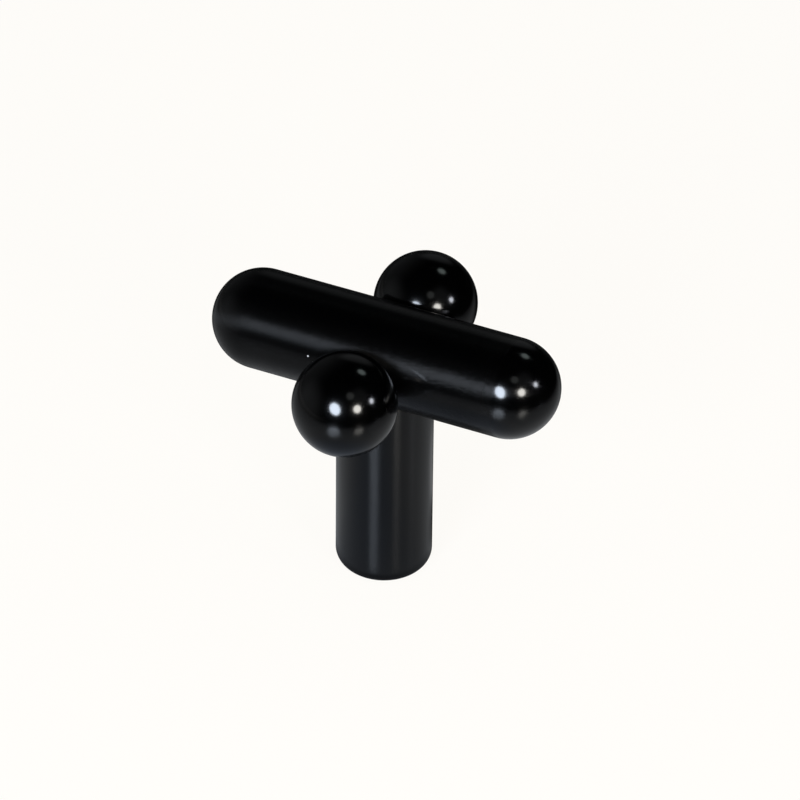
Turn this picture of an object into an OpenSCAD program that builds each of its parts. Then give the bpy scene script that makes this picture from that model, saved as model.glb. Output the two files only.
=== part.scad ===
// Bar knob for a drawer or a cabinet door: a round cross bar with a ball on each side, on a round stem.
// The origin is the middle of the foot's flat face. X runs along the bar, Y through both balls, Z up.

/* [Cross bar] */
// Diameter of the cross bar
bar_d = 14; // [12:0.2:18]
// Length of the cross bar over its two domed ends
bar_length = 51; // [40:1:90]
// Height of the cross bar's axis above the foot
bar_height = 35.2; // [32:0.2:60]

/* [Balls] */
// How much wider each ball is than the bar
ball_over = 0.4; // [-1:0.2:4]
// How far each ball sinks into the side of the bar
ball_sink = 1.2; // [0.6:0.1:2]

/* [Stem] */
// How much slimmer the stem is than the bar
stem_under = 0.6; // [0.4:0.2:3]
// Radius of the rounded edge around the foot
foot_edge = 2.2; // [0.4:0.2:2.2]

/* [Mounting thread] */
// Outer diameter of the mounting screw's thread
mount_thread_d = 4; // [3.8:0.1:5]
// Diameter of the drill used before the mounting thread is cut
mount_drill_d = 3.3; // [2.5:0.1:3.7]
// Height above the foot at which the full thread ends
mount_thread_depth = 13; // [8:0.5:14]
// Width of the chamfer around the mouth of the threaded hole
mount_chamfer = 0.4; // [0.2:0.1:0.6]

/* [Ball stud] */
// Outer diameter of the stud that holds both balls
stud_d = 4; // [3.8:0.1:4.6]
// Diameter of the drill used before the thread in each ball is cut
stud_drill_d = 3.3; // [2.5:0.1:3.7]
// Length of the stud
stud_length = 24; // [19:0.5:26]
// Chamfer at each end of the stud
stud_chamfer = 0.5; // [0.2:0.1:0.8]

/* [Stem dowel] */
// Diameter of the dowel between the stem and the bar
dowel_d = 5; // [3:0.5:7]
// Length of the dowel
dowel_length = 10; // [7:0.5:11]
// Chamfer at each end of the dowel
dowel_chamfer = 0.5; // [0.2:0.1:0.8]
// Thickness of metal left between the dowel's hole and the stud's hole
dowel_web = 1; // [0.6:0.1:1.6]

/* [Clearances] */
// Gap between a ball and its seat
seat_gap = 0.03; // [0.01:0.01:0.1]
// Gap between the bar and the stem's saddle
saddle_gap = 0.03; // [0.01:0.01:0.1]
// Gap around the stud, in the bar and in the balls
stud_gap = 0.03; // [0.01:0.01:0.1]
// Gap around the dowel
dowel_gap = 0.01; // [0.01:0.01:0.1]
// Space between the end of a pin and the bottom of its hole
end_gap = 0.3; // [0.1:0.1:0.6]
// Depth that a drill goes past the end of the full thread
drill_tail = 1.5; // [1:0.5:2]
// Angle of the drills' points
drill_point_angle = 118; // [90:1:140]

/* [Hidden] */
$fn = 96;
lacquer = "#101012";
steel = "#b9bbbe";
// Extra length of a cutting shape past the surface that it cuts
cut_over = 1;
bar_r = bar_d / 2;
ball_r = (bar_d + ball_over) / 2;
stem_r = (bar_d - stem_under) / 2;
// Distance from the bar's axis to the middle of a ball
ball_reach = bar_r + ball_r - ball_sink;
// Heights of the two ends of the dowel
dowel_top_z = bar_height - stud_d / 2 - stud_gap - dowel_web - end_gap;
dowel_bottom_z = dowel_top_z - dowel_length;

// A rod along Z with a half ball at each end, centred on the origin.
module domed_rod(d, length) {
    r = d / 2;
    straight = length / 2 - r;
    rotate_extrude()
        union() {
            translate([0, -straight])
                square([r, 2 * straight]);
            for (side = [0, 1])
                mirror([0, side])
                    translate([0, straight])
                        intersection() {
                            circle(r);
                            square(r);
                        }
        }
}

// A straight pin that stands on z = 0, with a chamfer at each end.
module chamfered_pin(d, length, chamfer) {
    r = d / 2;
    rotate_extrude()
        polygon([
            [0, 0], [r - chamfer, 0], [r, chamfer],
            [r, length - chamfer], [r - chamfer, length], [0, length]
        ]);
}

// The space of a blind tapped hole: the thread's wall, the drill's tail and the drill's point.
module tapped_hole(thread_d, drill_d, depth) {
    thread_r = thread_d / 2;
    drill_r = drill_d / 2;
    tail = depth + drill_tail;
    point = drill_r / tan(drill_point_angle / 2);
    rotate_extrude()
        polygon([
            [0, -cut_over], [thread_r, -cut_over], [thread_r, depth],
            [drill_r, depth], [drill_r, tail], [0, tail + point]
        ]);
}

// The space of both balls, grown by the seat's gap. It cuts the seats in the bar and the stem.
module ball_seats() {
    for (side = [-1, 1])
        translate([0, side * ball_reach, bar_height])
            sphere(ball_r + seat_gap);
}

// The dowel's hole, which runs through the joint between the stem and the bar.
module dowel_hole() {
    translate([0, 0, dowel_bottom_z - end_gap])
        cylinder(d = dowel_d + 2 * dowel_gap, h = dowel_length + 2 * end_gap);
}

// The bar, with a round seat on each side, the stud's cross hole and the dowel's blind hole.
module cross_bar() {
    color(lacquer)
        difference() {
            translate([0, 0, bar_height])
                rotate([0, 90, 0])
                    domed_rod(bar_d, bar_length);
            ball_seats();
            translate([0, 0, bar_height])
                rotate([90, 0, 0])
                    cylinder(d = stud_d + 2 * stud_gap, h = bar_d, center = true);
            dowel_hole();
        }
}

// A ball with a blind tapped hole that faces the bar. The side is -1 at the front and 1 at the rear.
module ball(side) {
    hole_depth = stud_length / 2 + end_gap;
    color(lacquer)
        difference() {
            translate([0, side * ball_reach, bar_height])
                sphere(ball_r);
            translate([0, 0, bar_height])
                rotate([-90 * side, 0, 0])
                    tapped_hole(stud_d + 2 * stud_gap, stud_drill_d, hole_depth);
        }
}

module front_ball() {
    ball(-1);
}

module rear_ball() {
    ball(1);
}

// The stud lies along Y, half in the bar and a quarter in each ball.
module ball_stud() {
    color(steel)
        translate([0, -stud_length / 2, bar_height])
            rotate([-90, 0, 0])
                chamfered_pin(stud_d, stud_length, stud_chamfer);
}

// The stem's outline before it is coped: a post with a rounded lower edge.
module stem_blank() {
    rotate_extrude()
        union() {
            square([stem_r - foot_edge, bar_height]);
            translate([0, foot_edge])
                square([stem_r, bar_height - foot_edge]);
            translate([stem_r - foot_edge, foot_edge])
                intersection() {
                    circle(foot_edge);
                    translate([0, -foot_edge])
                        square(foot_edge);
                }
        }
}

// The stem. Its top is coped to the round of the bar, and each side of that saddle clears a ball.
module stem() {
    color(lacquer)
        difference() {
            stem_blank();
            translate([0, 0, bar_height])
                rotate([0, 90, 0])
                    cylinder(r = bar_r + saddle_gap, h = 2 * stem_r + 2 * cut_over, center = true);
            ball_seats();
            dowel_hole();
            tapped_hole(mount_thread_d, mount_drill_d, mount_thread_depth);
            translate([0, 0, -cut_over])
                cylinder(
                    r1 = mount_thread_d / 2 + mount_chamfer + cut_over,
                    r2 = mount_thread_d / 2,
                    h = mount_chamfer + cut_over
                );
        }
}

// The dowel stands on the stem's axis and crosses the saddle.
module stem_dowel() {
    color(steel)
        translate([0, 0, dowel_bottom_z])
            chamfered_pin(dowel_d, dowel_length, dowel_chamfer);
}

cross_bar();
front_ball();
rear_ball();
ball_stud();
stem();
stem_dowel();
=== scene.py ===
"""The looks of the bar knob: turned metal in gloss black lacquer, on a pale floor in soft studio light."""
import math

import bmesh
import bpy
import numpy as np
from mathutils import Matrix, Quaternion, Vector


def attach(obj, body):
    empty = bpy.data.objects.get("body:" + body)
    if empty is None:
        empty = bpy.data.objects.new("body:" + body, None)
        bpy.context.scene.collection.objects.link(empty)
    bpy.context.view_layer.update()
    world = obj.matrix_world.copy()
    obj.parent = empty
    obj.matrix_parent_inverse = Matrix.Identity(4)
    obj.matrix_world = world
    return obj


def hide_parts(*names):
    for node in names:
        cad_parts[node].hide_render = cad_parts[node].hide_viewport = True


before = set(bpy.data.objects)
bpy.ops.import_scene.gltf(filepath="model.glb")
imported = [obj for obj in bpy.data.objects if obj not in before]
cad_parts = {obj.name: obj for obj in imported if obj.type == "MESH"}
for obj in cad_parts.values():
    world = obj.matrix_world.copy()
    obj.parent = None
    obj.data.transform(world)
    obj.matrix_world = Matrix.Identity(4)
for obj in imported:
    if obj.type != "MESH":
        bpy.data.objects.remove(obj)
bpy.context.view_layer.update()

# Camera, with its distances in metres
CAMERA_AZIMUTH = math.radians(24.53)
CAMERA_ELEVATION = math.radians(36.54)
CAMERA_ROLL = math.radians(0.61)
CAMERA_DISTANCE = 0.9276
LENS_MM = 304.2
SENSOR_MM = 36.0
# The aim lies beside and above the middle of the knob's height, along the picture's own two directions
AIM_HEIGHT = 0.02112
AIM_RIGHT = 0.00208
AIM_UP = 0.00489

# The same driving sizes as the CAD source, in millimetres
MM = 0.001
BAR_RADIUS = 7.0
BAR_HALF = 25.5
BAR_HEIGHT = 35.2
BALL_RADIUS = 7.2
BALL_REACH = 13.0
STEM_RADIUS = 6.7
FOOT_EDGE = 2.2
SEAT_RADIUS = 7.23
SADDLE_RADIUS = 7.03
STUD_HALF = 12.0
STUD_CHAMFER = 0.5
STUD_HOLE = 2.03
DOWEL_HOLE = 2.51
DOWEL_HOLE_TOP = 32.17
DOWEL_HOLE_FLOOR = 21.57
THREAD_PITCH = 0.7
THREAD_ROOT = 1.57
THREAD_CREST = 2.0
# The share of the pitch that is flat on the crest, and also in the groove
THREAD_FLAT = 0.2
DRILL_RADIUS = 1.65
DRILL_HALF_ANGLE = math.radians(59)
DRILL_POINT = DRILL_RADIUS / math.tan(DRILL_HALF_ANGLE)
MOUTH_CHAMFER = 0.4
FOOT_THREAD_END = 13.0
BALL_THREAD_END = 12.3
DRILL_TAIL = 1.5
# Where the bar's side is laid out around its seats and its dowel hole
COLLAR_HALF = 7.0
SEAT_COLLAR = math.radians(60)
DOWEL_COLLAR = math.radians(30)
FULL_TURN = 2 * math.pi

# How finely the pieces are divided, around as facets. The bar's side is two seats and two strips wide
SEAT_FACETS = 64
STRIP_FACETS = 32
BAR_FACETS = 2 * SEAT_FACETS + 2 * STRIP_FACETS
STEM_FACETS = 192
BALL_FACETS = 128
STUD_FACETS = 96
# And along, as rows of points. A thread's rows are counted per pitch
ROD_ROWS = 13
DOME_ROWS = 49
SEAT_ROWS = 13
HOLE_ROWS = 7
BALL_ROWS = 97
THREAD_ROWS = 10
STUD_END_ROWS = 4
STEM_ROWS = 25
EDGE_ROWS = 15
FOOT_ROWS = 7
SADDLE_ROWS = 25
LIP_ROWS = 5
SOCKET_ROWS = 9
# A hole's rim is sampled finely. The first rings around it lie close to it, and the others are even, both
# as shares of the way to the border
RIM_SAMPLES = 4001
CLOSE_RINGS = (0, 0.01, 0.04)
EVEN_RINGS_START = 0.1
SEAT_RINGS = 14
DOWEL_RINGS = 12
# Keeps the crease's divisor off 0 where the equation has no root
LEAST_DIVISOR = 0.1
# Points closer than this are one point, in millimetres, and edges bent more than this are sharp
MERGE_DISTANCE = 0.0004
SHARP_ANGLE = math.radians(30)

# Lamps, each with its name, its turn to the right of the camera and its elevation, half its width and half
# its height as the knob sees them, all in degrees, its radiance, its colour and its lean in degrees
LAMP_DISTANCE = 0.6
LAMPS = (
    ("key_lamp", -22.5, 24.3, 10.6, 13.0, 25, (0.78, 0.87, 1.0), 40),
    ("warm_lamp", 28.6, 23.2, 8.1, 8.1, 19.5, (1.0, 0.97, 0.91), 0),
    ("side_lamp", 67.6, 23.8, 4.8, 4.8, 16.5, (0.88, 0.91, 1.0), 0),
    ("back_lamp", 134, 52, 6.3, 6.3, 1.6, (0.85, 1.0, 0.97), 0),
    ("top_lamp", 18, 52.5, 7.6, 7.6, 0.5, (0.95, 1.0, 0.98), 0),
)

# Floor and background, with their lengths in metres
PALE = (0.991, 0.973, 0.939)
# How strongly the background lights the scene, where 1 is how bright it looks
ROOM_LIGHT = 0.40
FLOOR_RADIUS = 4.0
FLOOR_HEIGHT = -0.00006
# The paper's own grey, which takes the shadow, and the white that it adds where it is seen
FLOOR_SHADE = 0.05
FLOOR_GLOW = 0.96

# Table, with its lengths in metres
TABLE_RADIUS = 2.4
TABLE_HEIGHT = -0.00003
TABLE_IOR = 1.47
# The table's roughness, and what the matt part adds to it
TABLE_ROUGHNESS = 0.21
MATT_ROUGHNESS = 0.40
# The table's grey where it is palest, how much it falls off per metre, and what is left far away
TABLE_PALE = 0.52
TABLE_FALL = 17.0
TABLE_FAR = 0.004
# The tint of the bluish part
TABLE_BLUE = (0.90, 0.98, 1.12, 1)
# The palest place, by its turn to the right of the camera in degrees and its distance
PALEST = (-100, 0.018)
# Where the table is pale, where it is bluish and where it is matt, each with its turn, its distance, and
# its inner and outer radius
PALE_PART = (-95, 0.030, 0.10, 0.19)
BLUE_PART = (-20, 0.026, 0.008, 0.034)
MATT_PART = (66, 0.080, 0.024, 0.044)
# Painted shade on the table, mostly the knob's own shadows under the stem, in front and behind, each with
# its middle, its inner and outer radius and its depth
TABLE_PAINTED_SHADOWS = (
    (0.000, 0.000, 0.006, 0.011, 0.75),
    (-0.006, -0.032, 0.010, 0.046, 0.25),
    (0.016, -0.012, 0.004, 0.026, 0.22),
    (0.001, 0.011, 0.004, 0.012, 0.90),
    (-0.006, 0.026, 0.006, 0.018, 0.95),
    (-0.038, 0.092, 0.056, 0.090, 0.98),
)
# Painted light on the table: soft glowing patches, each with its middle, its inner and outer radius and its
# glow
TABLE_LIGHT_POOLS = (
    (0.008, 0.026, 0.004, 0.013, 0.14),
    (0.030, 0.008, 0.010, 0.036, 0.06),
    (-0.500, -0.228, 0.200, 0.520, 0.13),
)

# Tent, with its lengths in metres. Its lower edge is an angle in radians, a little under the floor
TENT_RADIUS = 2.5
TENT_EDGE = -0.05
TENT_ROWS = 24
TENT_FACETS = 64
TENT_DARK = 0.002
TENT_COLOUR = (0.93, 0.97, 1.0, 1)
# Pale curtains, each with its turn and height in degrees, its inner and outer radius and its glow
TENT_CURTAINS = (
    (-86, 7, 0.35, 2.0, 0.165),
    (-138, 14, 0.6, 2.4, 0.055),
    (168, 20, 0.35, 0.95, 0.10),
    (48, 44, 0.3, 1.1, 0.09),
)

# Lacquer. The ripple's height is in metres, and the gloss is a roughness that changes a little over a cloud
LACQUER_IOR = 1.5
GLOSS = 0.14
GLOSS_CHANGE = 0.015
DEEP_BLACK = (0.00003, 0.00003, 0.00004, 1)
SOFT_BLACK = (0.0003, 0.0003, 0.0004, 1)
RIPPLE_HEIGHT = 0.000003
# Most values of a noise lie in this range, and most of a cloud's in the wider one
NOISE_RANGE = (0.3, 0.7)
CLOUD_RANGE = (0.25, 0.75)

# The rubbed marks on the bar: their roughness where they are fine, where they are coarse and at the left end
MARKS_FINE = 0.32
MARKS_COARSE = 0.44
MARKS_WIDE = 0.56
# How strongly the marks shine, as the specular level, and how far they draw a lamp out, as the anisotropy
MARKS_LEVEL = 0.105
MARKS_STRETCH = 0.95
# How far the marks run off the straight round, as the anisotropy's rotation in turns
MARKS_TURN = 0.28
# The marks' depth in metres, and the share of it that is left on the bar's left half
MARKS_DEPTH = 0.00006
MARKS_FAINT = 0.3
# The clear coat's weight over the marks and on the right dome
MARKED_COAT = 0.45
END_COAT = 0.8
# Where the marks end, and where each change along the bar starts and ends, in millimetres from its middle
MARKS_END = 18.7
WIDE_TO_EVEN = (-22.5, -16.0)
FAINT_TO_DEEP = (-10.0, 6.0)
DEEP_TO_NONE = (MARKS_END - 1.2, MARKS_END)
MARKS_TO_GLOSS = (MARKS_END - 0.3, MARKS_END + 0.3)
LEFT_COAT_THINS = (-24.0, -19.0)
RIGHT_COAT_GROWS = (MARKS_END - 5.0, MARKS_END + 2.0)
# A painted glint: a pale dot with no clear coat on the bar's front near the ball. It stands in for a lamp's
# glint in the lacquer. Its place is in millimetres
GLINT_PLACE = (-8.42, -6.87, 36.52)
GLINT_CORE = 0.07
GLINT_EDGE = 0.17
PAINTED_GLINT_COLOUR = (0.75, 0.75, 0.74, 1)

# Bare steel. The rings' height is in metres
STEEL_DARK = (0.42, 0.42, 0.43, 1)
STEEL_PALE = (0.62, 0.62, 0.63, 1)
GROOVE_BROWN = (0.05, 0.045, 0.04, 1)
GROOVE_SHARE = 0.35
STEEL_ROUGHNESS = (0.26, 0.40)
CUT_ROUGHNESS = 0.36
RINGS_HEIGHT = 0.000004
SOFT_BUMP = 0.3
# Where bare metal ends on the foot, by its distance from the axis, and above the hole, in millimetres
METAL_RIM = (THREAD_CREST + MOUTH_CHAMFER - 0.02, THREAD_CREST + MOUTH_CHAMFER + 0.02)
METAL_TOP = (FOOT_THREAD_END + 4, FOOT_THREAD_END + 5)


def direction(azimuth, elevation):
    """The direction at an azimuth from the front to the right and at an elevation, both in radians."""
    level = math.cos(elevation)
    return Vector((math.sin(azimuth) * level, -math.cos(azimuth) * level, math.sin(elevation)))


def toward(turn, elevation, distance):
    """The point at a distance from the middle: to the camera's right by the turn, and up, in degrees."""
    return distance * direction(CAMERA_AZIMUTH + math.radians(turn), math.radians(elevation))


def beside(turn, distance):
    """A point on the floor, at a turn to the right of the camera in degrees."""
    return toward(turn, 0, distance)


def add_object(name, data):
    """A new object in the scene."""
    made = bpy.data.objects.new(name, data)
    bpy.context.scene.collection.objects.link(made)
    return made


def camera_frame():
    """The picture's right and up directions and the direction from the aim back to the camera."""
    back = direction(CAMERA_AZIMUTH, CAMERA_ELEVATION)
    level = Vector((math.cos(CAMERA_AZIMUTH), math.sin(CAMERA_AZIMUTH), 0))
    upright = back.cross(level)
    right = level * math.cos(CAMERA_ROLL) + upright * math.sin(CAMERA_ROLL)
    return right, back.cross(right), back


def make_camera():
    """The camera looks at the aim from its distance, with the picture's directions as its own."""
    right, up, back = camera_frame()
    data = bpy.data.cameras.new("camera")
    data.lens = LENS_MM
    data.sensor_width = SENSOR_MM
    camera = add_object("camera", data)
    place = Vector((0, 0, AIM_HEIGHT)) + right * AIM_RIGHT + up * AIM_UP + back * CAMERA_DISTANCE
    turn = Matrix((right, up, back)).transposed().to_4x4()
    camera.matrix_world = Matrix.Translation(place) @ turn
    bpy.context.scene.camera = camera


def make_lamp(name, turn, elevation, wide, tall, radiance, colour, lean):
    """A soft oval lamp that faces the knob. Wide and tall are half its size as the knob sees it, and the
    lean tips its top to the left, all in degrees. Its power is its radiance times pi times its area."""
    way = toward(turn, elevation, LAMP_DISTANCE)
    data = bpy.data.lights.new(name, "AREA")
    data.shape = "ELLIPSE"
    data.size = 2 * LAMP_DISTANCE * math.tan(math.radians(wide))
    data.size_y = 2 * LAMP_DISTANCE * math.tan(math.radians(tall))
    data.color = colour
    data.energy = radiance * math.pi * math.pi * data.size * data.size_y / 4
    lamp = add_object(name, data)
    lamp.location = Vector((0, 0, AIM_HEIGHT)) + way
    lamp.rotation_mode = "QUATERNION"
    lamp.rotation_quaternion = way.to_track_quat("Z", "Y") @ Quaternion((0, 0, 1), math.radians(lean))
    lamp.visible_camera = False


def feed(tree, made, inputs):
    """Gives each of a shader node's inputs a plain value, or the output that feeds it."""
    for name, value in inputs.items():
        if isinstance(value, bpy.types.NodeSocket):
            tree.links.new(value, made.inputs[name])
        else:
            made.inputs[name].default_value = value


def put(tree, kind, inputs, **settings):
    """Adds a shader node with its settings and its inputs."""
    made = tree.nodes.new("ShaderNode" + kind)
    for name, value in settings.items():
        setattr(made, name, value)
    feed(tree, made, inputs)
    return made


def calc(tree, operation, *values):
    """The result of one sum on the values."""
    return put(tree, "Math", dict(enumerate(values)), operation=operation).outputs[0]


def material(name):
    """A new material with nothing in it, and its shader nodes."""
    made = bpy.data.materials.new(name)
    made.use_nodes = True
    made.node_tree.nodes.clear()
    return made, made.node_tree


def new_group(name, inputs, outputs):
    """A shader node group with named inputs and outputs, and the ends of its inside links."""
    tree = bpy.data.node_groups.new(name, "ShaderNodeTree")
    for label, value in inputs.items():
        kind = "NodeSocketFloat" if isinstance(value, float) else "NodeSocketVector"
        tree.interface.new_socket(label, in_out="INPUT", socket_type=kind).default_value = value
    for label in outputs:
        tree.interface.new_socket(label, in_out="OUTPUT", socket_type="NodeSocketFloat")
    return tree, tree.nodes.new("NodeGroupInput").outputs, tree.nodes.new("NodeGroupOutput").inputs


def place_group(tree, group, inputs):
    """Puts a group into a material, with that material's own values."""
    made = tree.nodes.new("ShaderNodeGroup")
    made.node_tree = group
    feed(tree, made, inputs)
    return made.outputs


def soft_patch_group():
    """A soft round patch: its peak within the inner distance of its centre, and smoothly down to 0 at
    the outer one."""
    start = {"Place": (0, 0, 0), "Centre": (0, 0, 0), "Inner": 0.1, "Outer": 0.2, "Peak": 1.0}
    tree, given, result = new_group("soft_patch", start, ["Value"])
    far = put(tree, "VectorMath", {0: given["Place"], 1: given["Centre"]}, operation="DISTANCE")
    fade = put(tree, "MapRange", {
        "Value": far.outputs["Value"],
        "From Min": given["Inner"],
        "From Max": given["Outer"],
        "To Min": given["Peak"],
        "To Max": 0.0,
    }, interpolation_type="SMOOTHSTEP")
    tree.links.new(fade.outputs["Result"], result["Value"])
    return tree


def film_group():
    """The lacquer's film. Its ripple is a low fine noise, as sprayed lacquer has, and its cloud a wide
    one. Both are 0 to 1, with widths in millimetres."""
    start = {"Place": (0, 0, 0), "Ripple Width": 0.9, "Cloud Width": 7.0}
    tree, given, result = new_group("lacquer_film", start, ["Ripple", "Cloud"])
    for label, width, detail in (("Ripple", "Ripple Width", 1.5), ("Cloud", "Cloud Width", 3.0)):
        noise = put(tree, "TexNoise", {
            "Vector": given["Place"],
            "Scale": calc(tree, "DIVIDE", 1.0, given[width]),
            "Detail": detail,
            "Roughness": 0.5,
        })
        tree.links.new(noise.outputs[0], result[label])
    return tree


def turning_group():
    """Marks left by turning. A noise of the length alone gives rings around the axis, and a noise of the
    place breaks them into flecks. The marks are their mix, 0 to 1."""
    start = {"Place": (0, 0, 0), "Along": 0.0, "Ring Width": 0.25, "Fleck Width": 1.2, "Flecks": 0.5}
    tree, given, result = new_group("turning_marks", start, ["Marks", "Rings"])
    rings = put(tree, "TexNoise", {
        "W": given["Along"],
        "Scale": calc(tree, "DIVIDE", 1.0, given["Ring Width"]),
        "Detail": 2.0,
    }, noise_dimensions="1D")
    flecks = put(tree, "TexNoise", {
        "Vector": given["Place"],
        "Scale": calc(tree, "DIVIDE", 1.0, given["Fleck Width"]),
        "Detail": 3.0,
        "Roughness": 0.6,
        "Distortion": 0.6,
    })
    tree.links.new(blend(tree, given["Flecks"], rings.outputs[0], flecks.outputs[0]), result["Marks"])
    tree.links.new(rings.outputs[0], result["Rings"])
    return tree


def patch(tree, place, centre, inner, outer, peak):
    """A soft patch in this material, with its place and its distances in metres or in millimetres."""
    values = {"Place": place, "Centre": centre, "Inner": inner, "Outer": outer, "Peak": peak}
    return place_group(tree, SOFT_PATCH, values)["Value"]


def in_mm(tree):
    """The piece's own coordinates in millimetres."""
    place = put(tree, "TexCoord", {}).outputs["Object"]
    return put(tree, "VectorMath", {0: place, "Scale": 1 / MM}, operation="SCALE").outputs["Vector"]


def span(tree, value, start, end, first, last, smooth=False):
    """The value from start to end, carried over to first to last."""
    kind = "SMOOTHSTEP" if smooth else "LINEAR"
    made = put(tree, "MapRange", {
        "Value": value, "From Min": start, "From Max": end, "To Min": first, "To Max": last,
    }, interpolation_type=kind)
    return made.outputs["Result"]


def blend(tree, mask, first, second, colour=False):
    """The first where the mask is 0 and the second where it is 1."""
    if colour:
        return put(tree, "Mix", {0: mask, 6: first, 7: second}, data_type="RGBA").outputs[2]
    return put(tree, "Mix", {0: mask, 2: first, 3: second}, data_type="FLOAT").outputs[0]


SOFT_PATCH = soft_patch_group()
FILM = film_group()
TURNING = turning_group()


def bar_lacquer():
    """Clear gloss over a bar that was turned and rubbed round its axis. The rubbed marks under the gloss
    draw the lamps out along the bar and stop where the right end's dome starts. They are faint on the
    left half and wide at the left end. The gloss is thinner over the bar's middle."""
    made, tree = material("bar_lacquer")
    place = in_mm(tree)
    along = put(tree, "SeparateXYZ", {0: place}).outputs["X"]
    film = place_group(tree, FILM, {"Place": place, "Cloud Width": 6.0})
    marks = place_group(tree, TURNING, {
        "Place": place, "Along": along, "Ring Width": 0.3, "Fleck Width": 0.7, "Flecks": 0.75,
    })["Marks"]
    even = span(tree, marks, *NOISE_RANGE, MARKS_FINE, MARKS_COARSE)
    left_end = span(tree, along, *WIDE_TO_EVEN, 1.0, 0.0, smooth=True)
    rubbed = blend(tree, left_end, even, MARKS_WIDE)
    domed = span(tree, along, *MARKS_TO_GLOSS, 0.0, 1.0, smooth=True)
    right_coat = span(tree, along, *RIGHT_COAT_GROWS, MARKED_COAT, END_COAT, smooth=True)
    left_coat = span(tree, along, *LEFT_COAT_THINS, 1.0, MARKED_COAT, smooth=True)
    coat = calc(tree, "MAXIMUM", left_coat, right_coat)
    # Painted glint: a pale dot with no clear coat, where the lacquer shows a lamp's glint
    painted_glint = patch(tree, place, GLINT_PLACE, GLINT_CORE, GLINT_EDGE, 1.0)
    black = blend(tree, film["Cloud"], DEEP_BLACK, SOFT_BLACK, colour=True)
    deeper = span(tree, along, *FAINT_TO_DEEP, MARKS_FAINT, 1.0, smooth=True)
    ending = span(tree, along, *DEEP_TO_NONE, 1.0, 0.0, smooth=True)
    height = calc(tree, "MULTIPLY", marks, calc(tree, "MULTIPLY", deeper, ending))
    bump = put(tree, "Bump", {"Height": height, "Strength": 1.0, "Distance": MARKS_DEPTH})
    skin = put(tree, "BsdfPrincipled", {
        "Base Color": blend(tree, painted_glint, black, PAINTED_GLINT_COLOUR, colour=True),
        "Roughness": blend(tree, domed, rubbed, GLOSS),
        "IOR": LACQUER_IOR,
        "Specular IOR Level": MARKS_LEVEL,
        "Anisotropic": MARKS_STRETCH,
        "Anisotropic Rotation": MARKS_TURN,
        "Normal": bump.outputs[0],
        "Coat Weight": blend(tree, painted_glint, coat, 0.0),
        "Coat Roughness": GLOSS,
        "Coat IOR": LACQUER_IOR,
        "Tangent": put(tree, "Tangent", {}, direction_type="RADIAL", axis="X").outputs[0],
    })
    put(tree, "OutputMaterial", {"Surface": skin.outputs[0]})
    return made


def plain_lacquer(name, bare_hole):
    """Gloss black lacquer with a faint sprayed ripple. On the stem the foot's threaded hole, cut after
    the lacquer, is bare metal."""
    made, tree = material(name)
    place = in_mm(tree)
    film = place_group(tree, FILM, {"Place": place})
    colour = blend(tree, film["Cloud"], DEEP_BLACK, SOFT_BLACK, colour=True)
    roughness = span(tree, film["Cloud"], *CLOUD_RANGE, GLOSS - GLOSS_CHANGE, GLOSS + GLOSS_CHANGE)
    bump = put(tree, "Bump", {"Height": film["Ripple"], "Strength": SOFT_BUMP, "Distance": RIPPLE_HEIGHT})
    values = {"IOR": LACQUER_IOR, "Normal": bump.outputs[0]}
    if bare_hole:
        split = put(tree, "SeparateXYZ", {0: place}).outputs
        flat = put(tree, "CombineXYZ", {"X": split["X"], "Y": split["Y"]}).outputs[0]
        out = put(tree, "VectorMath", {0: flat}, operation="LENGTH").outputs["Value"]
        near = span(tree, out, *METAL_RIM, 1.0, 0.0)
        low = span(tree, split["Z"], *METAL_TOP, 1.0, 0.0)
        bare = calc(tree, "MULTIPLY", near, low)
        marks = place_group(tree, TURNING, {"Place": place, "Along": split["Z"]})
        metal = blend(tree, marks["Marks"], STEEL_DARK, STEEL_PALE, colour=True)
        colour = blend(tree, bare, colour, metal, colour=True)
        roughness = blend(tree, bare, roughness, CUT_ROUGHNESS)
        values["Metallic"] = bare
    skin = put(tree, "BsdfPrincipled", {"Base Color": colour, "Roughness": roughness, **values})
    put(tree, "OutputMaterial", {"Surface": skin.outputs[0]})
    return made


def turned_steel(name, centre, axis):
    """Plain turned steel: rings around its axis in colour, roughness and height, darker deep in a thread."""
    made, tree = material(name)
    place = put(tree, "VectorMath", {0: in_mm(tree), 1: centre}, operation="SUBTRACT").outputs["Vector"]
    split = put(tree, "SeparateXYZ", {0: place}).outputs
    sides = {"X": split["X"], "Y": split["Y"], "Z": split["Z"]}
    along = sides.pop(axis)
    out = put(tree, "VectorMath", {0: put(tree, "CombineXYZ", sides).outputs[0]}, operation="LENGTH")
    groove = span(tree, out.outputs["Value"], THREAD_ROOT, THREAD_CREST, GROOVE_SHARE, 0.0)
    marks = place_group(tree, TURNING, {
        "Place": place, "Along": along, "Ring Width": 0.12, "Fleck Width": 0.8, "Flecks": 0.3,
    })
    colour = blend(tree, marks["Marks"], STEEL_DARK, STEEL_PALE, colour=True)
    bump = put(tree, "Bump", {"Height": marks["Rings"], "Strength": SOFT_BUMP, "Distance": RINGS_HEIGHT})
    skin = put(tree, "BsdfPrincipled", {
        "Base Color": blend(tree, groove, colour, GROOVE_BROWN, colour=True),
        "Metallic": 1.0,
        "Roughness": span(tree, marks["Marks"], *NOISE_RANGE, *STEEL_ROUGHNESS),
        "Normal": bump.outputs[0],
    })
    put(tree, "OutputMaterial", {"Surface": skin.outputs[0]})
    return made


def full_turn(count):
    """The angles of a full turn, as one row."""
    return np.linspace(0, FULL_TURN, count, endpoint=False)[None]


def steps(count):
    """Even steps from 0 to 1, as one column."""
    return np.linspace(0, 1, count)[:, None]


def straight(first, last, count):
    """Rows of points on the straight lines from the first row to the last, or to the one last point."""
    step = steps(count)[:, :, None]
    return first * (1 - step) + step * last


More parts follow.
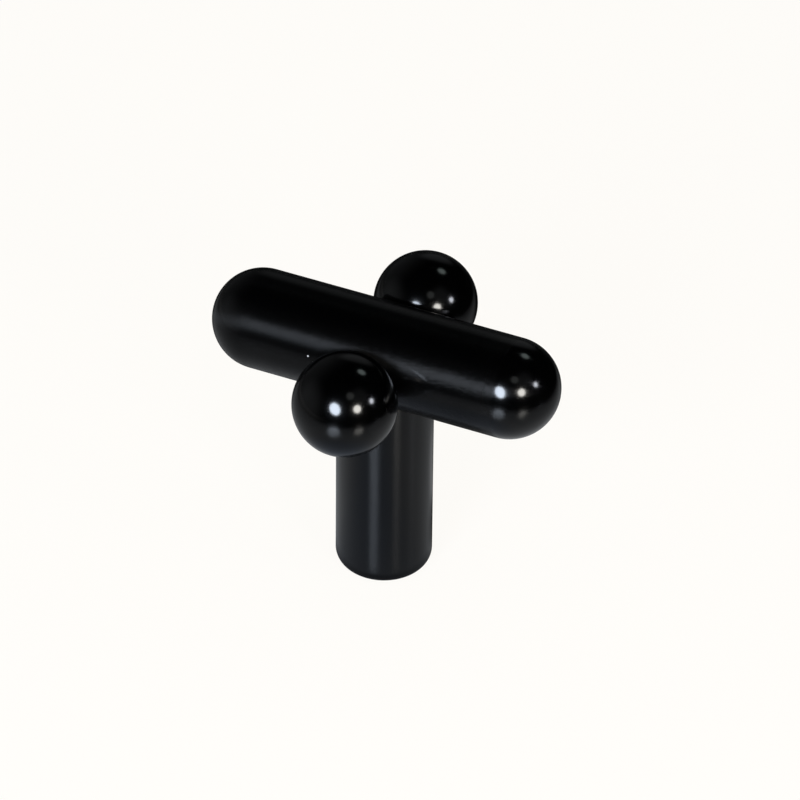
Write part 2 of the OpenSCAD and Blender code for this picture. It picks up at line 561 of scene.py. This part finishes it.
def quads_of(points, ring=True):
    """A grid of points and its four-sided faces. A ring joins its last column to its first."""
    rows, columns = points.shape[:2]
    index = np.arange(rows * columns).reshape(rows, columns)
    if ring:
        index = np.hstack([index, index[:, :1]])
    faces = np.stack([index[:-1, :-1], index[:-1, 1:], index[1:, 1:], index[1:, :-1]], axis=-1)
    return points.reshape(-1, 3), faces.reshape(-1, 4)


def mesh_of(name, points, faces):
    """A mesh with these points and faces."""
    mesh = bpy.data.meshes.new(name)
    mesh.from_pydata(points.tolist(), [], faces.tolist())
    return mesh


def skin_from(name, grids, node, finish):
    """Joins grids into one closed skin, merges their shared edges, and lets it stand for its CAD node."""
    starts = np.cumsum([0] + [len(points) for points, faces in grids])
    corners = np.vstack([points for points, faces in grids]) * MM
    faces = np.vstack([faces + start for (points, faces), start in zip(grids, starts)])
    mesh = mesh_of(name, corners, faces)
    skin = bmesh.new()
    skin.from_mesh(mesh)
    bmesh.ops.remove_doubles(skin, verts=skin.verts, dist=MERGE_DISTANCE * MM)
    bmesh.ops.recalc_face_normals(skin, faces=skin.faces)
    skin.to_mesh(mesh)
    skin.free()
    mesh.shade_smooth()
    mesh.set_sharp_from_angle(angle=SHARP_ANGLE)
    mesh.materials.append(finish)
    piece = add_object(name, mesh)
    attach(piece, "root")
    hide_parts(node)


def about_z(radius, height, turn):
    """Points around the stem's axis: out by the radius at the turn, up by the height."""
    x, y, z = radius * np.cos(turn), radius * np.sin(turn), height
    return np.stack(np.broadcast_arrays(x, y, z), axis=-1)


def about_y(radius, reach, turn):
    """Points around the line through both balls: out by the radius at the turn, along Y by the reach."""
    x, y, z = radius * np.sin(turn), reach, BAR_HEIGHT + radius * np.cos(turn)
    return np.stack(np.broadcast_arrays(x, y, z), axis=-1)


def on_the_bar(x, angle):
    """Points of the bar's round side: the angle runs from +Y up over the top, at the bar's radius."""
    return np.stack([x, BAR_RADIUS * np.cos(angle), BAR_HEIGHT + BAR_RADIUS * np.sin(angle)], axis=-1)


def thread_rise(along, turn):
    """A right-hand thread, 0 in its groove and 1 on its crest. Its place climbs one pitch per turn,
    and its section is a triangle wave whose tip and root are cut flat over a fifth of the pitch."""
    wave = np.abs(2 * np.mod(along / THREAD_PITCH - turn / FULL_TURN, 1) - 1)
    return np.clip((wave - THREAD_FLAT) / (1 - 2 * THREAD_FLAT), 0, 1)


def thread_rows(start, end, turn):
    """Rows that follow a thread: each is a helix one tenth of the pitch above the last, cut to the ends."""
    first = math.floor(start / THREAD_PITCH) - 1
    last = math.ceil(end / THREAD_PITCH) + 1
    rows = np.arange(first * THREAD_ROWS, last * THREAD_ROWS + 1)[:, None] / THREAD_ROWS
    return np.clip((rows + turn / FULL_TURN) * THREAD_PITCH, start, end)


def drill_end(last, thread_end, around, side, turn):
    """The end of a blind hole: from the thread's last row in to the drill's radius, along its tail, and
    over a cone to the drill's point."""
    tail_end = thread_end + DRILL_TAIL
    tail = np.array([[DRILL_RADIUS, thread_end], [DRILL_RADIUS, tail_end], [0, tail_end + DRILL_POINT]])
    return np.concatenate([last[None], around(tail[:, :1], side * tail[:, 1:], turn)])


def collar(rim_x, rim_angle, half_angle, up_count, over_count, rings):
    """The bar's side around a hole. Each point of a rectangle in length and angle is joined by a straight
    line, in length and angle, to the point of the hole's rim that lies in the same direction. The first
    rings lie close to the rim."""
    up = np.linspace(-1, 1, up_count + 1)[:-1]
    over = np.linspace(1, -1, over_count + 1)[:-1]
    border_x = COLLAR_HALF * np.concatenate([np.ones(up_count), over, -np.ones(up_count), -over])
    border_angle = half_angle * np.concatenate([up, np.ones(over_count), -up, -np.ones(over_count)])
    way = np.arctan2(BAR_RADIUS * border_angle, border_x)
    rim_way = np.arctan2(BAR_RADIUS * rim_angle, rim_x)
    start_x = np.interp(way, rim_way, rim_x, period=FULL_TURN)
    start_angle = np.interp(way, rim_way, rim_angle, period=FULL_TURN)
    step = np.concatenate([CLOSE_RINGS, np.linspace(EVEN_RINGS_START, 1, rings)])[:, None]
    x = start_x + step * (border_x - start_x)
    return x, start_angle + step * (border_angle - start_angle)


def bar_end(side):
    """One end of the bar: rings of the bar's radius, then rings that shrink over a quarter circle."""
    dome_start = BAR_HALF - BAR_RADIUS
    rod_x = np.linspace(COLLAR_HALF, dome_start, ROD_ROWS)
    bend = np.linspace(0, math.pi / 2, DOME_ROWS)[1:]
    x = np.concatenate([rod_x, dome_start + BAR_RADIUS * np.sin(bend)])[:, None]
    radius = np.concatenate([np.full(len(rod_x), BAR_RADIUS), BAR_RADIUS * np.cos(bend)])[:, None]
    turn = full_turn(BAR_FACETS)
    y, z = radius * np.cos(turn), BAR_HEIGHT + radius * np.sin(turn)
    return np.stack(np.broadcast_arrays(side * x, y, z), axis=-1)


def seat_side():
    """The bar's rear side with its round seat. The rim is where the seat's sphere cuts the bar: at each
    angle the rim's length follows from both radii and the distance between the two centres. The seat runs
    from the rim along the sphere to the stud's hole, and the hole's wall runs to the middle of the bar."""
    product = 2 * BAR_RADIUS * BALL_REACH
    widest = math.acos((BAR_RADIUS ** 2 + BALL_REACH ** 2 - SEAT_RADIUS ** 2) / product)
    turn = np.linspace(-math.pi, math.pi, RIM_SAMPLES)[:-1]
    rim_angle = widest * np.sin(turn)
    half = np.sqrt(np.maximum(product * (np.cos(rim_angle) - math.cos(widest)), 0))
    rim_x = np.sign(np.cos(turn)) * half
    side = on_the_bar(*collar(rim_x, rim_angle, SEAT_COLLAR, SEAT_FACETS, STRIP_FACETS, SEAT_RINGS))
    from_centre = (side[0] - [0, BALL_REACH, BAR_HEIGHT]) / SEAT_RADIUS
    tilt = np.arccos(np.clip(-from_centre[:, 1], -1, 1))
    around = np.arctan2(from_centre[:, 0], from_centre[:, 2])
    hole_tilt = math.asin(STUD_HOLE / SEAT_RADIUS)
    bend = tilt + steps(SEAT_ROWS) * (hole_tilt - tilt)
    seat = about_y(SEAT_RADIUS * np.sin(bend), BALL_REACH - SEAT_RADIUS * np.cos(bend), around)
    wall_start = BALL_REACH - SEAT_RADIUS * math.cos(hole_tilt)
    wall = about_y(STUD_HOLE, wall_start * (1 - steps(HOLE_ROWS)), around)
    return side, seat, wall


def bar_underside():
    """The bar's lower side with the dowel's hole: a round rim on the bar, its wall and its flat top."""
    turn = np.linspace(-math.pi, math.pi, RIM_SAMPLES)[:-1]
    rim_angle = np.arcsin(DOWEL_HOLE * np.sin(turn) / BAR_RADIUS)
    rim_x = DOWEL_HOLE * np.cos(turn)
    x, angle = collar(rim_x, rim_angle, DOWEL_COLLAR, STRIP_FACETS, STRIP_FACETS, DOWEL_RINGS)
    side = on_the_bar(x, angle - math.pi / 2)
    top = side[0].copy()
    top[:, 2] = DOWEL_HOLE_TOP
    wall = straight(side[0], top, HOLE_ROWS)
    cap = straight(top, [0, 0, DOWEL_HOLE_TOP], HOLE_ROWS)
    return side, wall, cap


def bar_top():
    """The plain strip along the bar's top, between the two seats."""
    x = np.linspace(-COLLAR_HALF, COLLAR_HALF, STRIP_FACETS + 1)[:, None]
    angle = np.linspace(SEAT_COLLAR, math.pi - SEAT_COLLAR, STRIP_FACETS + 1)[None]
    return on_the_bar(*np.broadcast_arrays(x, angle))


def make_bar(finish):
    """The bar's skin: both domed ends, the strip along the top, a seat at the rear and its mirror image at
    the front, and the underside."""
    front = np.array([1, -1, 1])
    grids = [quads_of(bar_end(-1)), quads_of(bar_end(1)), quads_of(bar_top(), ring=False)]
    for grid in seat_side():
        grids += [quads_of(grid), quads_of(grid * front)]
    for grid in bar_underside():
        grids.append(quads_of(grid))
    skin_from("bar", grids, "cross_bar", finish)


def make_ball(name, node, side, finish):
    """A ball turned about Y: an arc from its outer pole to the hole, a threaded wall and a drilled end.
    The thread's radius lies between the drill's and the stud's, as its rise gives it."""
    turn = full_turn(BALL_FACETS)
    mouth = math.asin(STUD_HOLE / BALL_RADIUS)
    bend = np.linspace(math.pi, mouth, BALL_ROWS)[:, None]
    ball = about_y(BALL_RADIUS * np.sin(bend), side * (BALL_REACH - BALL_RADIUS * np.cos(bend)), turn)
    start = BALL_REACH - BALL_RADIUS * math.cos(mouth)
    low, high = sorted((side * start, side * BALL_THREAD_END))
    along = thread_rows(low, high, turn)
    radius = DRILL_RADIUS + (STUD_HOLE - DRILL_RADIUS) * thread_rise(along, turn)
    lead_in = STUD_HOLE - (np.abs(along) - start)
    wall = about_y(np.maximum(radius, lead_in), along, turn)
    last = wall[-1 if side > 0 else 0]
    drilled = drill_end(last, BALL_THREAD_END, about_y, side, turn)
    skin_from(name, [quads_of(grid) for grid in (ball, wall, drilled)], node, finish)


def make_stud(finish):
    """The stud along Y: its thread's radius follows the thread's rise, cut by a cone at each end."""
    turn = full_turn(STUD_FACETS)
    along = thread_rows(-STUD_HALF, STUD_HALF, turn)
    radius = THREAD_ROOT + (THREAD_CREST - THREAD_ROOT) * thread_rise(along, turn)
    radius = np.minimum(radius, THREAD_CREST - STUD_CHAMFER + STUD_HALF - np.abs(along))
    skin = about_y(radius, along, turn)
    grids = [quads_of(skin)]
    for row, reach in ((0, -STUD_HALF), (-1, STUD_HALF)):
        grids.append(quads_of(straight(skin[row], [0, reach, BAR_HEIGHT], STUD_END_ROWS)))
    skin_from("threaded_stud", grids, "ball_stud", finish)


def saddle_height(x, y):
    """The height of the stem's coped top: the lower of the bar's cylinder and the balls' spheres."""
    saddle = BAR_HEIGHT - np.sqrt(SADDLE_RADIUS ** 2 - y ** 2)
    inside = SEAT_RADIUS ** 2 - x ** 2 - (np.abs(y) - BALL_REACH) ** 2
    return np.minimum(saddle, BAR_HEIGHT - np.sqrt(np.maximum(inside, 0)))


def saddle_crease(turn):
    """How far out the crease between saddle and seat lies. There both heights are the same, which gives a
    quadratic equation in the distance from the axis. Where it has no root the stem's wall comes first."""
    level = (BALL_REACH ** 2 + SADDLE_RADIUS ** 2 - SEAT_RADIUS ** 2) / (2 * BALL_REACH)
    slope = np.abs(np.sin(turn))
    curve = np.cos(turn) ** 2 / (2 * BALL_REACH)
    under_root = slope ** 2 - 4 * curve * level
    crease = 2 * level / np.maximum(slope + np.sqrt(np.maximum(under_root, 0)), LEAST_DIVISOR)
    return np.where(under_root > 0, np.minimum(crease, STEM_RADIUS), STEM_RADIUS)


def make_stem(finish):
    """The stem turned about Z: the wall from its coped top to the foot's quarter-round edge, the flat foot,
    the threaded hole with its chamfer, and the coped top from the wall in to the dowel's hole."""
    turn = full_turn(STEM_FACETS)
    rim = saddle_height(STEM_RADIUS * np.cos(turn), STEM_RADIUS * np.sin(turn))
    wall = about_z(STEM_RADIUS, rim + steps(STEM_ROWS) * (FOOT_EDGE - rim), turn)
    bend = np.linspace(0, math.pi / 2, EDGE_ROWS)[:, None]
    flat = STEM_RADIUS - FOOT_EDGE
    edge = about_z(flat + FOOT_EDGE * np.cos(bend), FOOT_EDGE * (1 - np.sin(bend)), turn)
    mouth = THREAD_CREST + MOUTH_CHAMFER
    foot = about_z(np.linspace(flat, mouth, FOOT_ROWS)[:, None], 0, turn)
    along = thread_rows(0, FOOT_THREAD_END, turn)
    radius = DRILL_RADIUS + (THREAD_CREST - DRILL_RADIUS) * thread_rise(along, turn)
    hole = about_z(np.maximum(radius, mouth - along), along, turn)
    drilled = drill_end(hole[-1], FOOT_THREAD_END, about_z, 1, turn)
    crease = saddle_crease(turn)
    inner = DOWEL_HOLE + steps(SADDLE_ROWS) * (crease - DOWEL_HOLE)
    outer = crease + steps(LIP_ROWS) * (STEM_RADIUS - crease)
    reach = np.vstack([inner, outer[1:]])
    coped = about_z(reach, saddle_height(reach * np.cos(turn), reach * np.sin(turn)), turn)
    floor = coped[0].copy()
    floor[:, 2] = DOWEL_HOLE_FLOOR
    socket = straight(coped[0], floor, SOCKET_ROWS)
    bottom = straight(floor, [0, 0, DOWEL_HOLE_FLOOR], SOCKET_ROWS)
    grids = [quads_of(grid) for grid in (wall, edge, foot, hole, drilled, coped, socket, bottom)]
    skin_from("round_stem", grids, "stem", finish)


def background_rays(tree):
    """1 for the rays that should see the white background: camera, glossy and transmission rays."""
    path = put(tree, "LightPath", {}).outputs
    either = calc(tree, "MAXIMUM", path["Is Camera Ray"], path["Is Glossy Ray"])
    return calc(tree, "MAXIMUM", either, path["Is Transmission Ray"])


def make_world():
    """A white surround, full for the rays that see the background and weaker as light."""
    world = bpy.data.worlds.new("studio")
    bpy.context.scene.world = world
    world.use_nodes = True
    tree = world.node_tree
    tree.nodes.clear()
    strength = span(tree, background_rays(tree), 0.0, 1.0, ROOM_LIGHT, 1.0)
    white = put(tree, "Background", {"Color": (*PALE, 1), "Strength": strength})
    put(tree, "OutputWorld", {"Surface": white.outputs[0]})


def disc(name, radius, height, segments=96):
    """A flat round sheet: one ring of points and a middle point, all at the same height."""
    turn = full_turn(segments)[0]
    ring = np.stack([radius * np.cos(turn), radius * np.sin(turn), np.full(segments, height)], 1)
    points = np.vstack([ring, [[0, 0, height]]])
    index = np.arange(segments)
    faces = np.stack([index, (index + 1) % segments, np.full(segments, segments)], 1)
    sheet = add_object(name, mesh_of(name, points, faces))
    return sheet


def make_floor():
    """White paper: a thin diffuse share that keeps the shadow, and its own white for what sees it."""
    floor = disc("floor", FLOOR_RADIUS, FLOOR_HEIGHT)
    made, tree = material("white_paper")
    paper = put(tree, "BsdfDiffuse", {"Color": (FLOOR_SHADE, FLOOR_SHADE, FLOOR_SHADE, 1)})
    strength = calc(tree, "MULTIPLY", background_rays(tree), FLOOR_GLOW)
    glow = put(tree, "Emission", {"Color": (*PALE, 1), "Strength": strength})
    both = put(tree, "AddShader", {0: paper.outputs[0], 1: glow.outputs[0]})
    put(tree, "OutputMaterial", {"Surface": both.outputs[0]})
    floor.data.materials.append(made)


def only_reflected(piece):
    """The piece is seen in gloss alone, as a studio card outside the picture is."""
    piece.visible_camera = False
    piece.visible_diffuse = False
    piece.visible_transmission = False
    piece.visible_shadow = False


def table_part(tree, place, part, peak):
    """A soft patch of the table, at a turn to the right of the camera and a distance."""
    turn, distance, inner, outer = part
    return patch(tree, place, beside(turn, distance), inner, outer, peak)


def make_table():
    """A grey table, pale under the knob and to its left and dark further away. Painted shade, mostly the
    knob's own shadows, darkens it under the stem and behind, and painted light glows on it in soft patches
    behind, to the right and far to the left. It is bluish in front and matt to the right."""
    table = disc("grey_table", TABLE_RADIUS, TABLE_HEIGHT)
    made, tree = material("grey_table")
    place = put(tree, "TexCoord", {}).outputs["Object"]
    far = put(tree, "VectorMath", {0: place, 1: beside(*PALEST)}, operation="DISTANCE").outputs["Value"]
    fall = calc(tree, "MULTIPLY_ADD", far, TABLE_FALL, 1.0)
    pale = calc(tree, "DIVIDE", table_part(tree, place, PALE_PART, TABLE_PALE), fall)
    # Painted shade: the knob's shadows and other darker places, taken out of the table's grey
    painted_shade = 0.0
    for x, y, inner, outer, depth in TABLE_PAINTED_SHADOWS:
        painted_shade = calc(tree, "MAXIMUM", patch(tree, place, (x, y, 0), inner, outer, depth), painted_shade)
    lit = calc(tree, "SUBTRACT", 1.0, painted_shade)
    grey = calc(tree, "MULTIPLY_ADD", pale, lit, TABLE_FAR)
    tint = blend(tree, table_part(tree, place, BLUE_PART, 1.0), (1, 1, 1, 1), TABLE_BLUE, colour=True)
    # Painted light: soft patches where the table glows, standing in for light that falls on it
    light_pools = 0.0
    for x, y, inner, outer, glow in TABLE_LIGHT_POOLS:
        light_pools = calc(tree, "ADD", patch(tree, place, (x, y, 0), inner, outer, glow), light_pools)
    matt = table_part(tree, place, MATT_PART, MATT_ROUGHNESS)
    colour = put(tree, "VectorMath", {0: tint, "Scale": grey}, operation="SCALE").outputs["Vector"]
    top = put(tree, "BsdfPrincipled", {
        "Base Color": colour,
        "Roughness": calc(tree, "ADD", matt, TABLE_ROUGHNESS),
        "IOR": TABLE_IOR,
        "Emission Color": (1, 1, 1, 1),
        "Emission Strength": light_pools,
    })
    put(tree, "OutputMaterial", {"Surface": top.outputs[0]})
    table.data.materials.append(made)
    only_reflected(table)


def make_tent():
    """A dark round tent, seen in gloss alone: a half ball of points by height and turn. One pale curtain
    hangs at its left, and fainter ones behind on both sides and high on the right."""
    rise = np.linspace(TENT_EDGE, math.pi / 2, TENT_ROWS)[:, None]
    turn = full_turn(TENT_FACETS)
    x, y, z = np.cos(rise) * np.cos(turn), np.cos(rise) * np.sin(turn), np.sin(rise)
    points, faces = quads_of(TENT_RADIUS * np.stack(np.broadcast_arrays(x, y, z), axis=-1))
    tent = add_object("dark_tent", mesh_of("dark_tent", points, faces))
    made, tree = material("dark_tent")
    place = put(tree, "TexCoord", {}).outputs["Object"]
    light = TENT_DARK
    for turned, height, inner, outer, glow in TENT_CURTAINS:
        hung = patch(tree, place, toward(turned, height, TENT_RADIUS), inner, outer, glow)
        light = calc(tree, "ADD", hung, light)
    cloth = put(tree, "Emission", {"Color": TENT_COLOUR, "Strength": light})
    put(tree, "OutputMaterial", {"Surface": cloth.outputs[0]})
    tent.data.materials.append(made)
    only_reflected(tent)


bpy.context.scene.view_settings.view_transform = "Standard"
make_camera()
for lamp_values in LAMPS:
    make_lamp(*lamp_values)
make_world()
make_floor()
make_table()
make_tent()
bar_finish = bar_lacquer()
ball_finish = plain_lacquer("ball_lacquer", False)
stem_finish = plain_lacquer("stem_lacquer", True)
make_bar(bar_finish)
make_ball("near_ball", "front_ball", -1, ball_finish)
make_ball("far_ball", "rear_ball", 1, ball_finish)
make_stem(stem_finish)
make_stud(turned_steel("thread_steel", (0, 0, BAR_HEIGHT), "Y"))
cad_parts["stem_dowel"].data.materials[0] = turned_steel("dowel_steel", (0, 0, 0), "Z")
